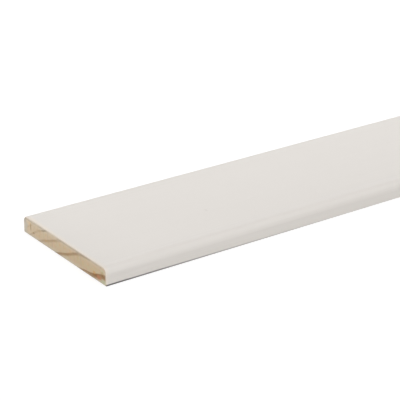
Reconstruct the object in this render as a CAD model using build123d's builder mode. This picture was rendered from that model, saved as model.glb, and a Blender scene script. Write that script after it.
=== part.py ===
"""A wooden cover strip: a thin flat moulding, round along both edges of its face.

It lies on its back with its painted face up. X runs along the strip, Y across its width and
Z up from the back. The origin is the middle of the back. All sizes are in millimetres.
"""

import os

from build123d import *

# Driving sizes
STRIP_LENGTH = 2400.0
STRIP_WIDTH = 58.0
STRIP_THICKNESS = 7.0
FACE_ROUND_RADIUS = 3.0
BACK_EASE_RADIUS = 0.6

# On thin stock the face's round leaves as much of the side flat as the back's ease takes
face_round = min(FACE_ROUND_RADIUS, STRIP_THICKNESS - 2 * BACK_EASE_RADIUS)

# The strip: its section, moulded along the whole length and sawn square at both ends
with BuildPart() as cover_strip:
    with BuildSketch(Plane.YZ.offset(-STRIP_LENGTH / 2)) as section:
        Rectangle(STRIP_WIDTH, STRIP_THICKNESS, align=(Align.CENTER, Align.MIN))
        fillet(section.vertices().group_by(Axis.Y)[-1], radius=face_round)
        fillet(section.vertices().group_by(Axis.Y)[0], radius=BACK_EASE_RADIUS)
    extrude(amount=STRIP_LENGTH)

cover_strip.part.label = "cover_strip"

os.makedirs("parts", exist_ok=True)
export_step(cover_strip.part, "parts/cover_strip.step")
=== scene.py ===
"""Dresses the cover strip: white paint on moulded softwood, with both sawn ends bare.

Meshes are made in metres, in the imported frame: X runs along the strip, Y across it and Z up from
its back. Patterns and growth rings work in millimetres in the same frame.
"""

import logging
import math
from collections.abc import Callable, Iterable
from dataclasses import dataclass, replace
from enum import Enum
from typing import ClassVar, TypeAlias

import bmesh
import bpy
from mathutils import Matrix, Vector, noise


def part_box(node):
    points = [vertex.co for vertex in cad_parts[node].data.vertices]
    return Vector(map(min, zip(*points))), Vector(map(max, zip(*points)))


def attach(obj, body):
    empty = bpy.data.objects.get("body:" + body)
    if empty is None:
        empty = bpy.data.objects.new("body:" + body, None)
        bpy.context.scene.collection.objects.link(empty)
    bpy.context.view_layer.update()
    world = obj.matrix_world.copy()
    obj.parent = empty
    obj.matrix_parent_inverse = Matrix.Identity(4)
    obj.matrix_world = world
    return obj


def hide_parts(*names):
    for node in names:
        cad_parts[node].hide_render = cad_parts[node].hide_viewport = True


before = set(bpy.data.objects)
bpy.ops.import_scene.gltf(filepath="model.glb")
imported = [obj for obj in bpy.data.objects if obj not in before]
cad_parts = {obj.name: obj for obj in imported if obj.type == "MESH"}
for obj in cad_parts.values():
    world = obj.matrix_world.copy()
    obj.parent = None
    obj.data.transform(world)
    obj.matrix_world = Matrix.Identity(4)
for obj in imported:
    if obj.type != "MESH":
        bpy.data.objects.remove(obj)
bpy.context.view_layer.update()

MM = 0.001
TO_MM = 1000.0
# Points closer together than this touch
TOUCHING = MM / 1000.0
CAD_NODE = "cover_strip"
BODY = "root"
# The strip's UV map, which lays it out flat, goes by this name
BAKE_MAP = "OFBake"

log = logging.getLogger("cover_strip")

Triple = tuple[float, float, float]
Span = tuple[float, float]
Socket = bpy.types.NodeSocket
Material = bpy.types.Material
Test = Callable[[Vector], bool]
Number: TypeAlias = "Signal | float"

PAINT: Triple = (0.762, 0.726, 0.685)
LATEWOOD: Triple = (0.290, 0.155, 0.062)
DIRT: Triple = (0.290, 0.240, 0.180)
WHITE = (1.0, 1.0, 1.0, 1.0)


class Surface(Enum):
    """What a face of the strip shows; the value is its material slot."""

    PAINT = 0
    SAWN_END = 1
    PLANED_BACK = 2


class Signal:
    """A number that varies over a surface: one output socket, with arithmetic."""

    NOISE_MIDDLE: ClassVar[float] = 0.5

    def __init__(self, nodes: "Nodes", socket: Socket) -> None:
        """Wraps one output socket of a tree of nodes."""
        self.nodes = nodes
        self.socket = socket

    def _maths(self, operation: str, *operands: Number) -> "Signal":
        """Adds one Math node, by Blender's name for its operation and with its inputs in order."""
        made = self.nodes.node("Math", {"operation": operation}, dict(enumerate(operands)))
        return Signal(self.nodes, made.outputs[0])

    def __add__(self, other: Number) -> "Signal":
        """self + other."""
        return self._maths("ADD", self, other)

    __radd__ = __add__

    def __sub__(self, other: Number) -> "Signal":
        """self - other."""
        return self._maths("SUBTRACT", self, other)

    def __rsub__(self, other: float) -> "Signal":
        """other - self."""
        return self._maths("SUBTRACT", other, self)

    def __mul__(self, other: Number) -> "Signal":
        """self * other."""
        return self._maths("MULTIPLY", self, other)

    __rmul__ = __mul__

    def __truediv__(self, other: Number) -> "Signal":
        """self / other."""
        return self._maths("DIVIDE", self, other)

    def __pow__(self, other: float) -> "Signal":
        """self ** other."""
        return self._maths("POWER", self, other)

    def __abs__(self) -> "Signal":
        """The size of self, without its sign."""
        return self._maths("ABSOLUTE", self)

    def sine(self) -> "Signal":
        """The sine of self, in radians."""
        return self._maths("SINE", self)

    def least(self, other: Number) -> "Signal":
        """The smaller of self and other."""
        return self._maths("MINIMUM", self, other)

    def most(self, other: Number) -> "Signal":
        """The larger of self and other."""
        return self._maths("MAXIMUM", self, other)

    def swing(self, width: float) -> "Signal":
        """A noise made to swing about 0, over the given width in all."""
        return (self - self.NOISE_MIDDLE) * width

    def ramp(self, start: float, end: float) -> "Signal":
        """Rises smoothly from 0 at start to 1 at end, or falls back to 0 where end is lower.

        Args:
            start: where self gives 0.
            end: where self gives 1; it may be below start.

        Returns:
            The smoothed ramp.
        """
        settings = {"interpolation_type": "SMOOTHSTEP"}
        inputs = {"Value": self, "From Min": min(start, end), "From Max": max(start, end)}
        rising = Signal(self.nodes, self.nodes.node("MapRange", settings, inputs).outputs[0])
        return rising if start < end else 1.0 - rising


def sine(value: Number) -> Number:
    """The sine of a number or of a signal."""
    return value.sine() if isinstance(value, Signal) else math.sin(value)


def least(value: Number, other: Number) -> Number:
    """The smaller of two numbers or signals, of which a signal comes first."""
    return value.least(other) if isinstance(value, Signal) else min(value, other)


def most(value: Number, other: Number) -> Number:
    """The larger of two numbers or signals, of which a signal comes first."""
    return value.most(other) if isinstance(value, Signal) else max(value, other)


def reach(a: Number, b: Number) -> Number:
    """The length of a step of a one way and b across it."""
    return (a * a + b * b) ** 0.5


def smooth(value: Number, start: float, end: float) -> Number:
    """A smooth rise from 0 at start to 1 at end, which may be below start.

    Args:
        value: a number or a signal.
        start: where it gives 0.
        end: where it gives 1.

    Returns:
        A number for a number and a signal for a signal.
    """
    if isinstance(value, Signal):
        return value.ramp(start, end)
    share = min(max((value - start) / (end - start), 0.0), 1.0)
    return share * share * (3.0 - 2.0 * share)


@dataclass(frozen=True)
class Pattern:
    """Smooth noise: how far apart its features lie, in millimetres, and its finer layers."""

    size: Triple
    detail: float = 2.0
    roughness: float = 0.5


@dataclass(frozen=True)
class Shown:
    """How a varying value shows: where that starts, where it is full, and how strong it is then."""

    start: float
    full: float
    strength: float = 1.0

    def of(self, value: Signal) -> Signal:
        """How strongly the value shows at each point."""
        return value.ramp(self.start, self.full) * self.strength


class Nodes:
    """A tree of shader nodes, which one method adds to."""

    def __init__(self, tree: bpy.types.NodeTree) -> None:
        """Takes a tree over and empties it."""
        self.tree = tree
        tree.nodes.clear()

    def node(
        self,
        kind: str,
        settings: dict[str, object] | None = None,
        inputs: dict[str | int, object] | None = None,
    ) -> bpy.types.Node:
        """Adds one node.

        Args:
            kind: the node's type, without the ShaderNode before it.
            settings: its properties, which are set first.
            inputs: values or links for its sockets, by name or by place.

        Returns:
            The new node.
        """
        made = self.tree.nodes.new(f"ShaderNode{kind}")
        for name, value in (settings or {}).items():
            setattr(made, name, value)
        for name, value in (inputs or {}).items():
            if isinstance(value, Signal):
                value = value.socket
            if isinstance(value, Socket):
                self.tree.links.new(value, made.inputs[name])
            else:
                made.inputs[name].default_value = value
        return made

    def close(self, output: str, factor: object, first: bpy.types.Node, second: bpy.types.Node) -> None:
        """Closes the tree with two shaders, of which a factor of 1 shows the second alone."""
        inputs = {0: factor, 1: first.outputs[0], 2: second.outputs[0]}
        mixed = self.node("MixShader", None, inputs)
        self.node(output, None, {"Surface": mixed.outputs[0]})


class Shader(Nodes):
    """One material, with patterns on the part's own coordinates in millimetres."""

    # A Mix node's colour sockets share their names with others, so they go by place
    MIX_FACTOR, MIX_A, MIX_B, MIX_COLOUR = 0, 6, 7, 2
    # The share of a speck's radius that is at full strength
    SPECK_CORE: ClassVar[float] = 0.2

    def __init__(self, name: str) -> None:
        """Makes an empty material of that name."""
        self.material = bpy.data.materials.new(name)
        self.material.use_nodes = True
        super().__init__(self.material.node_tree)
        metres = self.node("TexCoord").outputs["Object"]
        inputs = {0: metres, "Scale": TO_MM}
        self.place = self.node("VectorMath", {"operation": "SCALE"}, inputs).outputs[0]
        parts = self.node("SeparateXYZ", None, {0: self.place})
        self.x, self.y, self.z = (Signal(self, output) for output in parts.outputs)

    def _stretched(self, size: Triple) -> Socket:
        """The place in units of a pattern's own size along X, Y and Z."""
        inputs = {0: self.place, 1: size}
        return self.node("VectorMath", {"operation": "DIVIDE"}, inputs).outputs[0]

    def noise(self, pattern: Pattern) -> Signal:
        """A pattern's noise, from 0 to 1."""
        inputs = {"Vector": self._stretched(pattern.size), "Scale": 1.0}
        inputs |= {"Detail": pattern.detail, "Roughness": pattern.roughness}
        return Signal(self, self.node("TexNoise", {"noise_dimensions": "3D"}, inputs).outputs[0])

    def specks(self, apart: float, radius: float) -> Signal:
        """Small round specks scattered in the round, of which a surface cuts a few.

        Args:
            apart: how far apart they lie, in millimetres.
            radius: the size of the largest.

        Returns:
            1 in the middle of a speck and 0 outside it.
        """
        inputs = {"Vector": self._stretched((apart, apart, apart)), "Scale": 1.0}
        cells = self.node("TexVoronoi", {"feature": "F1"}, inputs)
        return (Signal(self, cells.outputs["Distance"]) * apart).ramp(radius, radius * self.SPECK_CORE)

    def blend(self, factor: Number, start: object, end: object) -> Socket:
        """Mixes two colours.

        Args:
            factor: 0 for start and 1 for end.
            start: a colour or a colour socket.
            end: a colour or a colour socket.

        Returns:
            The mixed colour's socket.
        """
        first, second = ((*c, 1.0) if isinstance(c, tuple) else c for c in (start, end))
        inputs = {self.MIX_FACTOR: factor, self.MIX_A: first, self.MIX_B: second}
        settings = {"data_type": "RGBA", "clamp_factor": True}
        return self.node("Mix", settings, inputs).outputs[self.MIX_COLOUR]

    def finish(self, colour: object, roughness: Number, relief_mm: Signal, shine: float) -> Material:
        """Closes the material with its surface shader.

        Args:
            colour: a colour or a colour socket.
            roughness: how matt it is.
            relief_mm: how high the surface stands, in millimetres.
            shine: the shader's specular level.

        Returns:
            The material.
        """
        bump = self.node("Bump", None, {"Strength": 1.0, "Distance": MM, "Height": relief_mm})
        body = {"Base Color": colour, "Roughness": roughness, "Normal": bump.outputs[0]}
        body["Specular IOR Level"] = shine
        surface = self.node("BsdfPrincipled", None, body)
        self.node("OutputMaterial", None, {"Surface": surface.outputs[0]})
        return self.material


@dataclass(frozen=True)
class Section:
    """The strip's section in millimetres: flat, with a round on each edge of its face."""

    width: float
    thickness: float
    face_round: float = 3.0
    back_ease: float = 0.6

    @property
    def half_face(self) -> float:
        """Half of the flat between the two rounds of the face."""
        return self.width / 2.0 - self.face_round

    @property
    def half_back(self) -> float:
        """Half of the flat of the back."""
        return self.width / 2.0 - self.back_ease

    @property
    def half_girth(self) -> float:
        """From the middle of the face round one side to the flat of the back."""
        return self.girth(self.half_back, 0.0)

    def girth(self, y: float, z: float) -> float:
        """How far round the painted outline a point lies from the middle of the face.

        Args:
            y: its place across the strip.
            z: its height above the back.

        Returns:
            The length of the outline up to it, negative where y is.
        """
        out, down = abs(y), self.thickness - z
        if out <= self.half_face:
            return y
        length = self.half_face
        if down < self.face_round:
            length += self.face_round * math.atan2(out - self.half_face, self.face_round - down)
        else:
            length += self.face_round * math.pi / 2.0
            length += min(down, self.thickness - self.back_ease) - self.face_round
            length += self.back_ease * math.atan2(max(self.back_ease - z, 0.0), out - self.half_back)
        return math.copysign(length, y)

    def depth(self, y: Number, z: Number) -> Number:
        """How far inside the outline a point lies, which is 0 on the outline."""
        out = abs(y)
        over = z - (self.thickness - self.face_round)
        face = self._corner_depth(out - self.half_face, over, self.face_round)
        return least(face, self._corner_depth(out - self.half_back, self.back_ease - z, self.back_ease))

    @staticmethod
    def _corner_depth(across: Number, up: Number, radius: float) -> Number:
        """The depth inside a round corner, from a point's place about the corner's centre."""
        past_centre = reach(most(across, 0.0), most(up, 0.0))
        return radius - past_centre - least(most(across, up), 0.0)


@dataclass(frozen=True)
class GrowthRing:
    """One year's dark band: its outer radius, its width and how dark it is."""

    radius: float
    width: float
    darkness: float
    # The band darkens outwards up to this share of its width, and then ends within this distance
    FULL: ClassVar[float] = 0.2
    OUTER_EDGE: ClassVar[float] = 0.5

    def at(self, radius: Number) -> Number:
        """How dark the band leaves the wood at a radius."""
        outside = radius - self.radius
        darkening = smooth(outside, -self.width, -self.width * self.FULL)
        return self.darkness * darkening * smooth(outside, self.OUTER_EDGE, 0.0)


@dataclass(frozen=True)
class Wave:
    """One wave of the ring lines: its height, its radians for each millimetre, and its phase."""

    height: float
    along: float = 0.0
    across: float = 0.0
    phase: float = 0.0

    def at(self, along: Number, y: Number) -> Number:
        """Its height at a place along the strip from its visible end, and across it."""
        return self.height * sine(along * self.along + y * self.across + self.phase)


@dataclass(frozen=True)
class GrowthRings:
    """The rings of the log that the strip was sawn from, in millimetres.

    They serve numbers and signals alike, so the relief and the colours follow one set of rings.
    """

    pith_y: float = -53.2
    pith_z: float = -149.8
    rings: tuple[GrowthRing, ...] = (
        GrowthRing(146.0, 1.6, 0.55),
        GrowthRing(150.5, 1.3, 0.50),
        GrowthRing(155.5, 2.6, 0.86),
        GrowthRing(161.0, 1.3, 0.62),
        GrowthRing(165.75, 1.1, 0.36),
        GrowthRing(169.5, 1.0, 0.25),
        GrowthRing(172.9, 0.9, 0.15),
        GrowthRing(176.2, 0.9, 0.22),
        GrowthRing(179.6, 0.9, 0.28),
    )
    waves: tuple[Wave, ...] = (
        Wave(0.18, across=0.422, phase=-3.3),
        Wave(0.29, across=0.267, phase=0.83),
        Wave(2.40, along=0.0061),
        Wave(-1.10, along=0.0173),
    )

    def radius(self, along: Number, y: Number, z: Number) -> Number:
        """The radius in the log of a point of the strip.

        Args:
            along: its place along the strip, from its visible end.
            y: its place across it.
            z: its height above the back.

        Returns:
            Its distance from the pith, with the waves of the log's own growth.
        """
        out = reach(y - self.pith_y, z - self.pith_z)
        for wave in self.waves:
            out = out + wave.at(along, y)
        return out

    def darkness(self, radius: Number) -> Number:
        """How dark the wood is at a radius, from 0 in earlywood to 1 in the darkest ring."""
        return sum(ring.at(radius) for ring in self.rings)


class StripShader(Shader):
    """A material of the strip, with the distance from its visible end and the rings at each point."""

    def __init__(self, name: str, rings: GrowthRings, section: Section, ends: Span) -> None:
        """Makes an empty material for a strip of those rings and that section, with its ends at X."""
        super().__init__(name)
        self.section, self.ends = section, ends
        self.along = self.x - ends[0]
        self.radius = rings.radius(self.along, self.y, self.z)
        self.dark = rings.darkness(self.radius)


@dataclass(frozen=True)
class WornArris:
    """The cream line round each end, where the saw and a rub have left the paint thin."""

    colour: Triple = (0.815, 0.725, 0.625)
    strength: float = 0.85
    # Both wears go by the distance from the end in millimetres, with ragged edges
    sawn: Shown = Shown(0.30, 0.18)
    sawn_edge: Pattern = Pattern((0.9, 0.9, 0.9))
    sawn_swing: float = 0.3
    rubbed: Shown = Shown(1.9, 0.3)
    rubbed_edge: Pattern = Pattern((1.6, 2.6, 1.6))
    rubbed_swing: float = 1.2
    # How hard it is rubbed: more towards the far side, and less again at that corner
    rub: float = 0.50
    far_side: Shown = Shown(-5.0, 20.0, 0.35)
    far_corner: Shown = Shown(24.5, 27.0, 0.7)

    def share(self, shader: StripShader) -> Signal:
        """How thin the paint is.

        Args:
            shader: the paint's nodes.

        Returns:
            0 where the paint is whole.
        """
        start, end = shader.ends
        from_end = abs(end - start) / 2.0 - abs(shader.x - (start + end) / 2.0)
        rub = (self.rub + self.far_side.of(shader.y)) * (1.0 - self.far_corner.of(shader.y))
        rubbed = self.rubbed.of(from_end - shader.noise(self.rubbed_edge).swing(self.rubbed_swing)) * rub
        sawn = self.sawn.of(from_end - shader.noise(self.sawn_edge).swing(self.sawn_swing))
        return sawn.most(rubbed) * self.strength


@dataclass(frozen=True)
class PaintedContactShadow:
    """Painted contact shadow: a dark line on the near lower arris, fainter along the visible end's foot.
    """

    # The colour of the painted shadow
    colour: Triple = (0.092, 0.086, 0.080)
    # How high it reaches above the back, in millimetres
    height: Shown = Shown(0.98, 0.64)
    edge: Pattern = Pattern((9.0, 1.0, 1.0))
    edge_swing: float = 0.25
    # It sinks by this much for each millimetre from the visible end, and fades out by this length
    sinking: float = 0.0035
    length: float = 150.0
    fading: float = 1.5
    foot_share: float = 0.42

    def share(self, shader: StripShader) -> Signal:
        """How dark the painted contact shadow makes the paint.

        Args:
            shader: the paint's nodes.

        Returns:
            0 where no shadow is painted.
        """
        ragged = shader.noise(self.edge).swing(self.edge_swing)
        line = self.height.of(shader.z + shader.along * self.sinking + ragged)
        fade = (1.0 - shader.along / self.length).most(0.0) ** self.fading
        outer = shader.section.half_back
        inner = outer - shader.section.back_ease
        across = (shader.y.ramp(-inner, -outer) + self.foot_share).least(1.0)
        return line * fade * across * shader.y.ramp(outer, inner)


@dataclass(frozen=True)
class Spot:
    """A small dull spot in the face, in millimetres from the visible end and across."""

    along: float = 58.3
    across: float = -7.5
    half_length: float = 0.8
    half_width: float = 1.2
    core: float = 0.3
    strength: float = 0.9

    def share(self, shader: StripShader) -> Signal:
        """How dull the paint is, from 0 outside the spot."""
        along = (shader.along - self.along) / self.half_length
        across = (shader.y - self.across) / self.half_width
        return reach(along, across).ramp(1.0, self.core) * self.strength


@dataclass(frozen=True)
class WhitePaint:
    """Satin white factory paint, thin enough for the grain to show as faint relief."""

    colour: Triple = PAINT
    streak_colour: Triple = (0.700, 0.664, 0.622)
    roughness: float = 0.42
    shine: float = 0.5
    fibres: Pattern = Pattern((110.0, 0.50, 0.50), 3.0, 0.6)
    clouds: Pattern = Pattern((160.0, 22.0, 22.0))
    skin: Pattern = Pattern((1.4, 1.4, 1.4))
    # Heights in millimetres
    grain_relief: float = 0.008
    skin_relief: float = 0.005
    nib_relief: float = 0.03
    # Nibs of dust below the paint
    nibs_apart: float = 13.0
    nib_radius: float = 0.42
    nib_shade: float = 0.35
    # Sanding streaks, which are stronger near the sides
    middle_streaks: float = 0.10
    outer_streaks: Shown = Shown(11.0, 5.0, 0.32)
    streaked_fibres: Shown = Shown(0.45, 0.75)
    streaked_clouds: Shown = Shown(0.35, 0.75, 0.12)
    ring_shade: float = 0.05
    # Fibres make the paint duller, and clouds shinier
    fibre_dulling: float = 0.08
    cloud_shine: float = 0.06
    worn_arris: WornArris = WornArris()
    # A painted contact shadow along the near lower arris and the foot of the visible end
    contact_shadow: PaintedContactShadow = PaintedContactShadow()
    spot: Spot = Spot()

    def dress(self, shader: StripShader) -> Material:
        """Makes the paint.

        Args:
            shader: an empty material.

        Returns:
            The finished material.
        """
        dark, arris, contact_shadow = shader.dark, self.worn_arris, self.contact_shadow
        fibres, clouds = shader.noise(self.fibres), shader.noise(self.clouds)
        nibs = shader.specks(self.nibs_apart, self.nib_radius)
        outer = self.outer_streaks.of(shader.section.width / 2.0 - abs(shader.y))
        streaks = self.streaked_fibres.of(fibres) * (self.middle_streaks + outer)
        streaks = streaks + self.streaked_clouds.of(clouds) + dark * self.ring_shade
        colour = shader.blend(streaks, self.colour, self.streak_colour)
        colour = shader.blend(nibs * self.nib_shade, colour, self.streak_colour)
        colour = shader.blend(self.spot.share(shader), colour, self.streak_colour)
        colour = shader.blend(arris.share(shader), colour, arris.colour)
        # Lays the painted contact shadow on the near lower arris
        colour = shader.blend(contact_shadow.share(shader), colour, contact_shadow.colour)
        relief = (fibres - dark) * self.grain_relief + nibs * self.nib_relief
        relief = relief + shader.noise(self.skin) * self.skin_relief
        roughness = self.roughness + self.fibre_dulling * fibres - self.cloud_shine * clouds
        return shader.finish(colour, roughness, relief, self.shine)


@dataclass(frozen=True)
class EndPatch:
    """A patch of colour on the visible sawn end: its middle, its reach each way, strength, colour and
    slope.
    """

    y: float
    z: float
    half_width: float
    half_height: float
    strength: float
    colour: Triple
    slope: float = 0.0
    # How ragged its edge is, how much of it is at full strength, and how deep it goes into the wood
    RAGGED: ClassVar[float] = 1.2
    CORE: ClassVar[float] = 0.35
    SOAKED_IN: ClassVar[Shown] = Shown(6.0, 1.0)

    def lay(self, shader: StripShader, colour: Socket, blotches: Signal) -> Socket:
        """Lays the patch over a colour.

        Args:
            shader: the end grain's nodes.
            colour: what lies below it.
            blotches: the noise that makes its edge ragged.

        Returns:
            The colour with the patch on it.
        """
        out = shader.y - self.y
        up = (shader.z - self.z - out * self.slope) / self.half_height
        away = reach(out / self.half_width, up) + blotches.swing(self.RAGGED)
        share = away.ramp(1.0, self.CORE) * self.strength * self.SOAKED_IN.of(shader.along)
        return shader.blend(share, colour, self.colour)


@dataclass(frozen=True)
class SmearedPaint:
    """Paint smeared over the rim of the sawn ends, and a dark line in the wood just inside it."""

    colour: Triple = (0.735, 0.668, 0.585)
    film: Shown = Shown(0.92, 0.30)
    mist: Shown = Shown(2.6, 0.30, 0.38)
    # Its own corners are tighter than the strip's, and its edge is ragged
    corner: float = 0.6
    ragged: float = 0.45
    # The film stops above the foot, and the mist and the dark line keep to the upper part
    above_foot: Shown = Shown(0.55, 1.1)
    upper_part: Shown = Shown(2.0, 5.0)
    line_colour: Triple = DIRT
    line_inside: Shown = Shown(1.5, 1.0)
    line_outside: Shown = Shown(0.45, 0.8)
    breaks: Pattern = Pattern((40.0, 7.0, 4.0), 4.0, 0.7)
    broken_line: Shown = Shown(0.38, 0.66, 0.42)

    def lay(self, shader: StripShader, colour: Socket, pores: Signal) -> Socket:
        """Lays the smear over the end grain.

        Args:
            shader: the end grain's nodes.
            colour: what lies below it.
            pores: the noise that makes its edge ragged.

        Returns:
            The smeared colour.
        """
        rim = replace(shader.section, face_round=self.corner)
        depth = rim.depth(shader.y, shader.z) + pores.swing(self.ragged)
        upper = self.upper_part.of(shader.z)
        film = self.film.of(depth).most(self.mist.of(depth) * upper)
        colour = shader.blend(film * self.above_foot.of(shader.z), colour, self.colour)
        line = self.line_inside.of(depth) * self.line_outside.of(depth) * upper
        line = line * self.broken_line.of(shader.noise(self.breaks))
        return shader.blend(line, colour, self.line_colour)


@dataclass(frozen=True)
class BareSoftwood:
    """Softwood without paint."""

    early_colour: Triple = (0.590, 0.500, 0.322)
    warm_colour: Triple = (0.636, 0.446, 0.306)
    pale_colour: Triple = (0.690, 0.566, 0.408)
    late_colour: Triple = LATEWOOD
    roughness: float = 0.78
    shine: float = 0.3
    # The wood is paler towards the outside of the log, by its radius there
    pale_part: Shown = Shown(157.0, 178.0)
    # How dark the rings are at the least
    ring_share: float = 0.55

    def earlywood(self, shader: StripShader, warmth: Signal) -> Socket:
        """The colour between the rings, from its warmth."""
        colour = shader.blend(warmth, self.early_colour, self.warm_colour)
        return shader.blend(self.pale_part.of(shader.radius), colour, self.pale_colour)


@dataclass(frozen=True)
class SawnEnd(BareSoftwood):
    """Softwood end grain: rings, pores, stains, saw marks, smeared paint and a patch of painted shade."""

    pores: Pattern = Pattern((0.5, 0.22, 0.22), 3.0, 0.65)
    blotches: Pattern = Pattern((6.0, 3.0, 2.2), 3.0)
    patches: Pattern = Pattern((40.0, 4.0, 1.5))
    gold: Pattern = Pattern((30.0, 1.8, 1.3), 1.0)
    saw_marks: Pattern = Pattern((4.0, 0.60, 9.0))
    warm_blotches: Shown = Shown(0.3, 0.7, 0.7)
    warm_pores: Shown = Shown(0.35, 0.75, 0.3)
    gold_colour: Triple = (0.640, 0.455, 0.240)
    gold_blotches: Shown = Shown(0.50, 0.70, 0.4)
    # The foot is greyer, up to a ragged height
    foot_colour: Triple = (0.625, 0.545, 0.430)
    foot: Shown = Shown(2.0, 0.5, 0.8)
    foot_ragged: float = 0.6
    # What darkens the rings further
    ring_pores: float = 0.5
    ring_patches: Shown = Shown(0.3, 0.7, 0.4)
    dirt_colour: Triple = DIRT
    dirty_pores: Shown = Shown(0.52, 0.75, 0.22)
    dirty_saw_marks: Shown = Shown(0.55, 0.72, 0.20)
    # Heights in millimetres
    grain_relief: float = 0.03
    saw_relief: float = 0.05
    pore_dulling: float = 0.12
    smeared_paint: SmearedPaint = SmearedPaint()
    stains_and_shade: tuple[EndPatch, ...] = (
        EndPatch(-26.5, 1.1, 2.6, 1.2, 0.80, (0.560, 0.560, 0.385)),
        EndPatch(-26.5, 5.0, 2.6, 1.0, 0.75, (0.576, 0.529, 0.336)),
        EndPatch(28.6, 3.5, 3.6, 4.6, 0.75, (0.560, 0.520, 0.455)),
        EndPatch(24.4, 5.1, 1.2, 0.9, 0.60, (0.720, 0.510, 0.280)),
        EndPatch(-21.0, 2.4, 1.2, 0.8, 0.60, (0.640, 0.336, 0.110)),
        EndPatch(-24.1, 1.8, 2.4, 1.2, 0.80, (0.520, 0.230, 0.125)),
        EndPatch(-26.4, 3.9, 1.9, 1.1, 0.35, (0.360, 0.230, 0.110)),
        EndPatch(23.75, 3.7, 0.45, 1.9, 0.55, LATEWOOD),
        EndPatch(21.5, 2.0, 0.8, 0.5, 0.45, LATEWOOD),
        EndPatch(12.4, 2.3, 1.4, 0.45, 0.55, (0.560, 0.370, 0.150), -0.3),
        EndPatch(13.6, 5.9, 3.4, 0.42, 0.75, (0.290, 0.200, 0.110), -0.37),
        EndPatch(14.8, 6.3, 3.0, 0.60, 0.60, (0.735, 0.668, 0.560), -0.25),
        # Grey-brown at the far top corner: paint wrapped over the round, darkened with painted shade
        EndPatch(28.2, 5.6, 1.6, 1.6, 0.60, (0.400, 0.350, 0.290)),
        EndPatch(-14.6, 0.1, 6.8, 1.1, 0.55, (0.610, 0.500, 0.360)),
    )

    def dress(self, shader: StripShader) -> Material:
        """Makes the end grain.

        Args:
            shader: an empty material.

        Returns:
            The finished material.
        """
        pores, blotches = shader.noise(self.pores), shader.noise(self.blotches)
        saw_marks, dark = shader.noise(self.saw_marks), shader.dark
        colour = self.earlywood(shader, self.warm_blotches.of(blotches) + self.warm_pores.of(pores))
        gold = self.gold_blotches.of(shader.noise(self.gold))
        colour = shader.blend(gold, colour, self.gold_colour)
        foot = self.foot.of(shader.z + pores.swing(self.foot_ragged))
        colour = shader.blend(foot, colour, self.foot_colour)
        patches = self.ring_patches.of(shader.noise(self.patches))
        rings = dark * (self.ring_share + self.ring_pores * pores + patches)
        colour = shader.blend(rings, colour, self.late_colour)
        flecks = self.dirty_pores.of(pores) + self.dirty_saw_marks.of(saw_marks)
        colour = shader.blend(flecks, colour, self.dirt_colour)
        # Stains, and at the far top corner a patch of painted shade
        for stain in self.stains_and_shade:
            colour = stain.lay(shader, colour, blotches)
        colour = self.smeared_paint.lay(shader, colour, pores)
        relief = (dark + pores) * self.grain_relief + saw_marks * self.saw_relief
        return shader.finish(colour, self.roughness + pores * self.pore_dulling, relief, self.shine)


@dataclass(frozen=True)
class PlanedBack(BareSoftwood):
    """Softwood planed along the grain, with the ragged edge of the paint that ran round the arrises."""

    fibres: Pattern = Pattern((24.0, 0.30, 0.30), 4.0, 0.6)
    clouds: Pattern = Pattern((70.0, 7.0, 7.0))
    warm_fibres: Shown = Shown(0.3, 0.75, 0.4)
    warm_clouds: Shown = Shown(0.3, 0.7, 0.35)
    ring_fibres: float = 0.4
    paint_colour: Triple = PAINT
    # How far in from each side the paint ran, and the mist that it ends in, in millimetres
    painted: Shown = Shown(2.2, 1.8)
    paint_edge: Pattern = Pattern((18.0, 3.0, 3.0), 3.0)
    paint_ragged: float = 3.0
    mist: Shown = Shown(8.0, 2.0, 0.35)
    misted_fibres: Shown = Shown(0.45, 0.6)
    # Heights in millimetres
    ring_relief: float = 0.012
    fibre_relief: float = 0.02
    paint_relief: float = 0.02
    fibre_shine: float = 0.1
    paint_shine: float = 0.3

    def dress(self, shader: StripShader) -> Material:
        """Makes the planed back.

        Args:
            shader: an empty material.

        Returns:
            The finished material.
        """
        fibres, clouds, dark = shader.noise(self.fibres), shader.noise(self.clouds), shader.dark
        colour = self.earlywood(shader, self.warm_fibres.of(fibres) + self.warm_clouds.of(clouds))
        rings = dark * (self.ring_share + self.ring_fibres * fibres)
        colour = shader.blend(rings, colour, self.late_colour)
        ragged = shader.noise(self.paint_edge).swing(self.paint_ragged)
        inside = shader.section.width / 2.0 - abs(shader.y) + ragged
        painted = self.painted.of(inside)
        mist = self.mist.of(inside) * self.misted_fibres.of(fibres)
        colour = shader.blend(painted.most(mist), colour, self.paint_colour)
        relief = dark * self.ring_relief + fibres * self.fibre_relief + painted * self.paint_relief
        roughness = self.roughness - fibres * self.fibre_shine - painted * self.paint_shine
        return shader.finish(colour, roughness, relief, self.shine)


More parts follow.
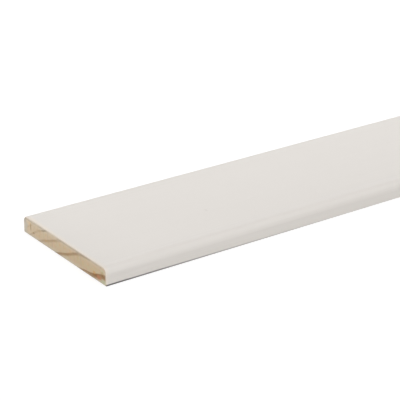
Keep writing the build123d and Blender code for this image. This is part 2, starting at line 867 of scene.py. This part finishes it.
class Workpiece:
    """One mesh object, shaped with Blender's own edit tools and modifiers."""

    TRUE_ROUND: ClassVar[dict[str, object]] = {"profile": 0.5, "clamp_overlap": False}

    def __init__(self, name: str, low: Vector, high: Vector) -> None:
        """Starts from a block between two corners."""
        bpy.ops.object.select_all(action="DESELECT")
        bpy.ops.mesh.primitive_cube_add(size=1.0, location=(low + high) / 2.0, scale=high - low)
        self.object = bpy.context.object
        self.object.name = self.object.data.name = name
        bpy.ops.object.transform_apply(location=True, rotation=True, scale=True)

    def _edit(self, mode: str) -> None:
        """Opens the mesh to pick edges or faces, with nothing selected."""
        bpy.ops.object.mode_set(mode="EDIT")
        bpy.ops.mesh.select_mode(type=mode)
        bpy.ops.mesh.select_all(action="DESELECT")

    def _pick_faces(self, wanted: Test) -> None:
        """Selects the faces whose middles pass a test, and no others."""
        mesh = bmesh.from_edit_mesh(self.object.data)
        for face in mesh.faces:
            face.select_set(wanted(face.calc_center_median()))

    def round_edges(self, wanted: Callable[[Vector, Vector], bool], radius: float, segments: int) -> None:
        """Rounds the edges that a test picks.

        Args:
            wanted: a test on an edge's two ends.
            radius: the round's radius.
            segments: its number of flats.
        """
        self._edit("EDGE")
        mesh = bmesh.from_edit_mesh(self.object.data)
        for edge in mesh.edges:
            edge.select_set(wanted(*(vertex.co for vertex in edge.verts)))
        bpy.ops.mesh.bevel(offset=radius, segments=segments, **self.TRUE_ROUND)
        bpy.ops.object.mode_set(mode="OBJECT")

    def rim_faces(self, wanted: Test, rims: Iterable[float]) -> None:
        """Insets the faces that a test picks, once for each rim.

        Args:
            wanted: a test on a face's middle.
            rims: the rims' widths, from the outermost in.
        """
        self._edit("FACE")
        self._pick_faces(wanted)
        for rim in rims:
            bpy.ops.mesh.inset(thickness=rim, use_individual=True)
        bpy.ops.object.mode_set(mode="OBJECT")

    def cut(self, axis: Vector, places: Iterable[float], wanted: Test) -> None:
        """Cuts the faces that a test picks along parallel planes, and leaves them joined.

        Args:
            axis: the planes' normal.
            places: where they lie along it.
            wanted: a test on a face's middle.
        """
        self._edit("FACE")
        for place in places:
            self._pick_faces(wanted)
            bpy.ops.mesh.bisect(plane_co=axis * place, plane_no=axis, threshold=TOUCHING)
        bpy.ops.mesh.select_all(action="DESELECT")
        bpy.ops.object.mode_set(mode="OBJECT")

    def press(self, axis: str, distance: float, share: Callable[[Vector], float]) -> None:
        """Moves the surface along an axis by a share of a distance.

        Args:
            axis: X, Y or Z.
            distance: the most that a point moves, negative to move it back.
            share: a point's share of it, from 0 to 1.
        """
        group = self.object.vertex_groups.new(name="pressed")
        for vertex in self.object.data.vertices:
            weight = share(vertex.co)
            if weight > 0.0:
                group.add([vertex.index], weight, "REPLACE")
        press = self.object.modifiers.new("press", "DISPLACE")
        press.direction, press.mid_level, press.strength = axis, 0.0, distance
        press.vertex_group = group.name
        bpy.ops.object.modifier_apply(modifier=press.name)
        self.object.vertex_groups.remove(self.object.vertex_groups["pressed"])


@dataclass(frozen=True)
class Swell:
    """Smooth hollows in the mesh: their share of its relief, and their waves for each millimetre."""

    share: float
    waves: Triple
    # What each millimetre up adds across, where the noise begins along X, and how narrow it is
    lean: float = 0.0
    start: float = 0.0
    sharpness: float = 1.0

    def at(self, x: float, y: float, z: float) -> float:
        """Their depth at a point in millimetres, from 0 to their share."""
        along, across, up = self.waves
        place = Vector((x * along + self.start, y * across + z * self.lean, z * up))
        return self.share * (0.5 + 0.5 * noise.noise(place)) ** self.sharpness


@dataclass(frozen=True)
class Relief:
    """Hollows in a surface: their depth in metres, and the shares of earlywood and swells in it."""

    depth: float
    soft: float
    swells: tuple[Swell, ...]

    def share(self, softness: float, x: float, y: float, z: float) -> float:
        """How deep a point in millimetres lies, from 0 to 1, where the wood is that soft."""
        return sum((swell.at(x, y, z) for swell in self.swells), self.soft * softness)


@dataclass(frozen=True)
class BakeSheet:
    """The strip laid out flat in its UV map.

    The painted outline and the back go in rows, each a share of the length, and both sawn ends
    lie side by side above them at a larger scale. Places are shares of the sheet.
    """

    section: Section
    start: float
    length: float
    rows: int = 3
    gutter: float = 0.006
    end_width: float = 0.5

    def end_place(self, far: bool, y: float, z: float) -> Span:
        """Where a point of a sawn end goes; y and z are in millimetres."""
        start = self.gutter + (self.end_width if far else 0.0)
        across = start + (y + self.section.width / 2.0) * self._end_scale
        return across, 1.0 - self.gutter - (self.section.thickness - z) * self._end_scale

    def row_place(self, row: int, x: float, across: float, back: bool) -> Span:
        """Where a point of a row goes.

        Args:
            row: its row.
            x: its place along the strip, in millimetres.
            across: its girth on the painted outline, or its Y on the back.
            back: whether it is on the back.

        Returns:
            Its place on the sheet.
        """
        row_length = self.length / self.rows
        along = (x - self.start) / row_length - row
        painted = 2.0 * self.section.half_girth * self._row_scale
        base = row * self._row_height + self.gutter
        base += painted + self.gutter if back else 0.0
        half = self.section.half_back if back else self.section.half_girth
        return self.gutter + along * (1.0 - 2.0 * self.gutter), base + (across + half) * self._row_scale

    @property
    def _end_scale(self) -> float:
        """Sheet for each millimetre of a sawn end."""
        return (self.end_width - 2.0 * self.gutter) / self.section.width

    @property
    def _row_height(self) -> float:
        """The height of one row, with its gutters."""
        return (1.0 - 2.0 * self.gutter - self.section.thickness * self._end_scale) / self.rows

    @property
    def _row_scale(self) -> float:
        """Sheet for each millimetre across a row."""
        outline = 2.0 * (self.section.half_girth + self.section.half_back)
        return (self._row_height - 2.0 * self.gutter) / outline


@dataclass
class CoverStrip:
    """The strip itself: one piece of moulded softwood, painted, with bare sawn ends."""

    low: Vector
    high: Vector
    round_segments: int = 14
    ease_segments: int = 5
    # The arris that the saw and a rub with sandpaper left round each end, in two rims
    cut_ease: float = 0.22 * MM
    outer_rim: float = 0.3
    # The mesh's own grid, for the relief: its cells along, across and up
    cells: tuple[int, int, int] = (96, 120, 15)
    # Edges sharper than this stay sharp
    smooth_angle: float = math.radians(30.0)
    # Tests on places and normals leave this much room
    edge_reach: float = MM / 2.0
    flat_within: float = MM / 100.0
    rim_share: float = 0.99
    facing: float = 0.99
    # Saw marks and nicks in the ends, and swells in the face's paint
    end_relief: Relief = Relief(
        depth=0.12 * MM,
        soft=0.35,
        swells=(
            Swell(0.30, (0.01, 0.9, 0.15), lean=0.2),
            Swell(0.35, (0.01, 1.7, 1.7), start=7.0, sharpness=2.0),
        ),
    )
    face_relief: Relief = Relief(0.015 * MM, 0.5, (Swell(0.5, (0.012, 0.16, 0.0), start=-14.4),))
    # How far in from its rounds the face's relief is full, in millimetres
    face_margin: float = 2.0
    rings: GrowthRings = GrowthRings()
    paint: WhitePaint = WhitePaint()
    sawn_end: SawnEnd = SawnEnd()
    planed_back: PlanedBack = PlanedBack()

    @property
    def section(self) -> Section:
        """The section in millimetres."""
        size = (self.high - self.low) * TO_MM
        return Section(width=size.y, thickness=size.z)

    def build(self) -> bpy.types.Object:
        """Models the strip and dresses it.

        Returns:
            The finished object, which sits at the origin.
        """
        section = self.section
        work = Workpiece("painted_strip", self.low, self.high)
        work.round_edges(self._long_edges(self.high.z), section.face_round * MM, self.round_segments)
        work.round_edges(self._long_edges(self.low.z), section.back_ease * MM, self.ease_segments)
        rims = (self.cut_ease * self.outer_rim, self.cut_ease * (1.0 - self.outer_rim))
        work.rim_faces(self._on_end, rims)
        ends = ((self.low.x, 1.0), (self.high.x, -1.0))
        for end, inwards in ends:
            work.press("X", inwards * self.cut_ease, lambda at: self._arris_share(at, end))
        self._cut_grid(work)
        strip = work.object
        self._name_surfaces(strip)
        self._lay_out(strip)
        for end, inwards in ends:
            work.press("X", inwards * self.end_relief.depth, lambda at: self._end_share(at, end))
        work.press("Z", -self.face_relief.depth, self._face_share)
        bpy.ops.object.shade_smooth_by_angle(angle=self.smooth_angle)
        bpy.ops.object.select_all(action="DESELECT")
        return strip

    def _long_edges(self, height: float) -> Callable[[Vector, Vector], bool]:
        """A test for the edges that run the whole length at a height."""
        half = (self.high.x - self.low.x) / 2.0
        near = self.edge_reach
        return lambda a, b: abs(a.x - b.x) > half and abs(a.z - height) < near and abs(b.z - height) < near

    def _on_end(self, at: Vector) -> bool:
        """Whether a point is on a sawn end or its eased arris."""
        return min(at.x - self.low.x, self.high.x - at.x) < self.cut_ease * self.rim_share

    def _on_flat(self, at: Vector) -> bool:
        """Whether a point is on the flat of the face or back, or on a sawn end."""
        return at.z > self.high.z - TOUCHING or at.z < self.low.z + TOUCHING or self._on_end(at)

    def _hollow(self, relief: Relief, at: Vector) -> float:
        """How deep a surface of that relief lies at a point, from 0 to 1."""
        x, y, z = at * TO_MM
        along = x - self.low.x * TO_MM
        softness = 1.0 - self.rings.darkness(self.rings.radius(along, y, z))
        return relief.share(softness, along, y, z)

    def _cut_grid(self, work: Workpiece) -> None:
        """Cuts the mesh into the grid that carries the relief."""
        size = self.high - self.low
        tests = (lambda middle: True, self._on_flat, self._on_end)
        for axis, (cells, wanted) in enumerate(zip(self.cells, tests)):
            places = (self.low[axis] + size[axis] * step / cells for step in range(1, cells))
            work.cut(Matrix.Identity(3)[axis], places, wanted)

    def _name_surfaces(self, strip: bpy.types.Object) -> None:
        """Gives each face the material of what it shows."""
        ends = (self.low.x * TO_MM, self.high.x * TO_MM)
        names = ("white_paint", "sawn_end_grain", "planed_back")
        strip.data.materials.clear()
        for name, finish in zip(names, (self.paint, self.sawn_end, self.planed_back)):
            shader = StripShader(name, self.rings, self.section, ends)
            strip.data.materials.append(finish.dress(shader))
        for polygon in strip.data.polygons:
            polygon.material_index = self._surface(polygon).value

    def _surface(self, polygon: bpy.types.MeshPolygon) -> Surface:
        """What a face shows, from the way that it points."""
        if abs(polygon.normal.x) > self.facing:
            return Surface.SAWN_END
        if polygon.normal.z < -self.facing:
            return Surface.PLANED_BACK
        return Surface.PAINT

    def _lay_out(self, strip: bpy.types.Object) -> None:
        """Gives the mesh its UV map, which lays it out flat."""
        mesh, section = strip.data, self.section
        size = self.high.x - self.low.x
        sheet = BakeSheet(section, self.low.x * TO_MM, size * TO_MM)
        for layer in list(mesh.uv_layers):
            mesh.uv_layers.remove(layer)
        layer = mesh.uv_layers.new(name=BAKE_MAP)
        for polygon in mesh.polygons:
            on_end = self._on_end(polygon.center)
            back = polygon.material_index == Surface.PLANED_BACK.value
            row = int((polygon.center.x - self.low.x) / size * sheet.rows)
            for loop in polygon.loop_indices:
                x, y, z = mesh.vertices[mesh.loops[loop].vertex_index].co * TO_MM
                if on_end:
                    place = sheet.end_place(x > 0.0, y, z)
                else:
                    place = sheet.row_place(row, x, y if back else section.girth(y, z), back)
                layer.data[loop].uv = place

    def _arris_share(self, at: Vector, end: float) -> float:
        """How far back a quarter round takes a point of one end's rims, from 0 to 1."""
        if abs(at.x - end) > self.cut_ease:
            return 0.0
        depth = self.section.depth(at.y * TO_MM, at.z * TO_MM) * MM
        outside = 1.0 - min(max(depth / self.cut_ease, 0.0), 1.0)
        return 1.0 - math.sqrt(1.0 - outside * outside)

    def _end_share(self, at: Vector, end: float) -> float:
        """How deep the saw and the soft earlywood leave a point of one sawn end, from 0 to 1."""
        fade = 1.0 - min(abs(at.x - end) / self.cut_ease, 1.0)
        if fade == 0.0:
            return 0.0
        return fade * self._hollow(self.end_relief, at)

    def _face_share(self, at: Vector) -> float:
        """How far the paint sinks over soft earlywood at a point of the face, from 0 to 1."""
        if at.z < self.high.z - self.flat_within:
            return 0.0
        half = self.section.half_face
        margin = smooth(abs(at.y) * TO_MM, half, half - self.face_margin)
        return self._hollow(self.face_relief, at) * margin


@dataclass(frozen=True)
class Softbox:
    """One soft lamp, which faces the middle of the strip."""

    name: str
    place: Triple
    size: Span
    watts: float

    def hang(self) -> None:
        """Puts the lamp in the scene, out of the camera's sight."""
        data = bpy.data.lights.new(self.name, "AREA")
        data.shape = "RECTANGLE"
        data.size, data.size_y = self.size
        data.energy = self.watts
        lamp = bpy.data.objects.new(self.name, data)
        bpy.context.scene.collection.objects.link(lamp)
        lamp.location = self.place
        lamp.rotation_euler = (-Vector(self.place)).to_track_quat("-Z", "Y").to_euler()
        lamp.visible_camera = False


@dataclass
class Studio:
    """A white floor, soft lamps and the photograph's camera."""

    corner: Vector
    lens: float = 146.28
    sensor_width: float = 36.0
    in_sight: Span = (0.01, 100.0)
    # From the near bottom corner of the visible end, in millimetres
    camera_offset: Triple = (-269.6, -435.0, 252.8)
    camera_right: Triple = (0.81457, -0.58006, 0.0)
    camera_up: Triple = (0.22912, 0.32175, 0.91868)
    floor_size: float = 120.0
    floor_colour: tuple[float, float, float, float] = (0.9, 0.9, 0.9, 1.0)
    sky_strength: float = 0.20
    # How brightly the floor glows to the camera, and its share near the strip and far from it
    glow: float = 1.2
    near_glow: float = 0.62
    far_floor_mm: Span = (1600.0, 4000.0)
    lamps: tuple[Softbox, ...] = (
        Softbox("key_softbox", (0.0, -0.55, 2.2), (4.6, 1.6), 31.1),
        Softbox("front_softbox", (0.0, -2.4, 1.3), (4.6, 1.2), 22.6),
        Softbox("back_softbox", (0.0, 0.28, 0.17), (4.6, 0.18), 3.13),
        Softbox("left_softbox", (-3.4, -0.6, 1.6), (2.0, 2.0), 27.6),
        Softbox("right_softbox", (3.4, -0.6, 1.6), (2.0, 2.0), 27.6),
    )

    def build(self) -> None:
        """Makes the camera, the floor, the sky and the lamps."""
        self._camera()
        self._floor()
        self._sky()
        for lamp in self.lamps:
            lamp.hang()

    def _camera(self) -> None:
        """Puts the camera where the photograph was taken from."""
        data = bpy.data.cameras.new("camera")
        data.lens = self.lens
        data.sensor_width = self.sensor_width
        data.clip_start, data.clip_end = self.in_sight
        camera = bpy.data.objects.new("camera", data)
        bpy.context.scene.collection.objects.link(camera)
        right, up = Vector(self.camera_right), Vector(self.camera_up)
        turn = Matrix((right, up, right.cross(up))).transposed().to_4x4()
        place = self.corner + Vector(self.camera_offset) * MM
        camera.matrix_world = Matrix.Translation(place) @ turn
        bpy.context.scene.camera = camera

    def _floor(self) -> None:
        """Lays a white floor, which the camera sees paler than its light is."""
        bpy.ops.mesh.primitive_plane_add(size=self.floor_size, location=(0.0, 0.0, self.corner.z))
        floor = bpy.context.object
        floor.name = "floor"
        shader = Shader("white_floor")
        matt = shader.node("BsdfDiffuse", None, {"Color": self.floor_colour})
        glow = shader.node("Emission", None, {"Strength": self.glow})
        seen = Signal(shader, shader.node("LightPath").outputs["Is Camera Ray"])
        far = reach(shader.x, shader.y).ramp(*self.far_floor_mm)
        share = seen * (self.near_glow + (1.0 - self.near_glow) * far)
        shader.close("OutputMaterial", share, matt, glow)
        floor.data.materials.append(shader.material)

    def _sky(self) -> None:
        """Lights the strip from all round, and shows white to the camera."""
        world = bpy.data.worlds.new("sky")
        world.use_nodes = True
        bpy.context.scene.world = world
        nodes = Nodes(world.node_tree)
        lit = nodes.node("Background", None, {"Color": WHITE, "Strength": self.sky_strength})
        shown = nodes.node("Background", None, {"Color": WHITE, "Strength": 1.0})
        seen = nodes.node("LightPath").outputs["Is Camera Ray"]
        nodes.close("OutputWorld", seen, lit, shown)


def main() -> None:
    """Builds the strip and its studio, and reports each piece."""
    logging.basicConfig(level=logging.INFO, format="%(name)s: %(message)s")
    low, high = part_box(CAD_NODE)
    strip = CoverStrip(low, high).build()
    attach(strip, BODY)
    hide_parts(CAD_NODE)
    log.info("%s: %d faces", strip.name, len(strip.data.polygons))
    Studio(low.copy()).build()
    bpy.context.scene.view_settings.view_transform = "Standard"


if __name__ == "__main__":
    main()
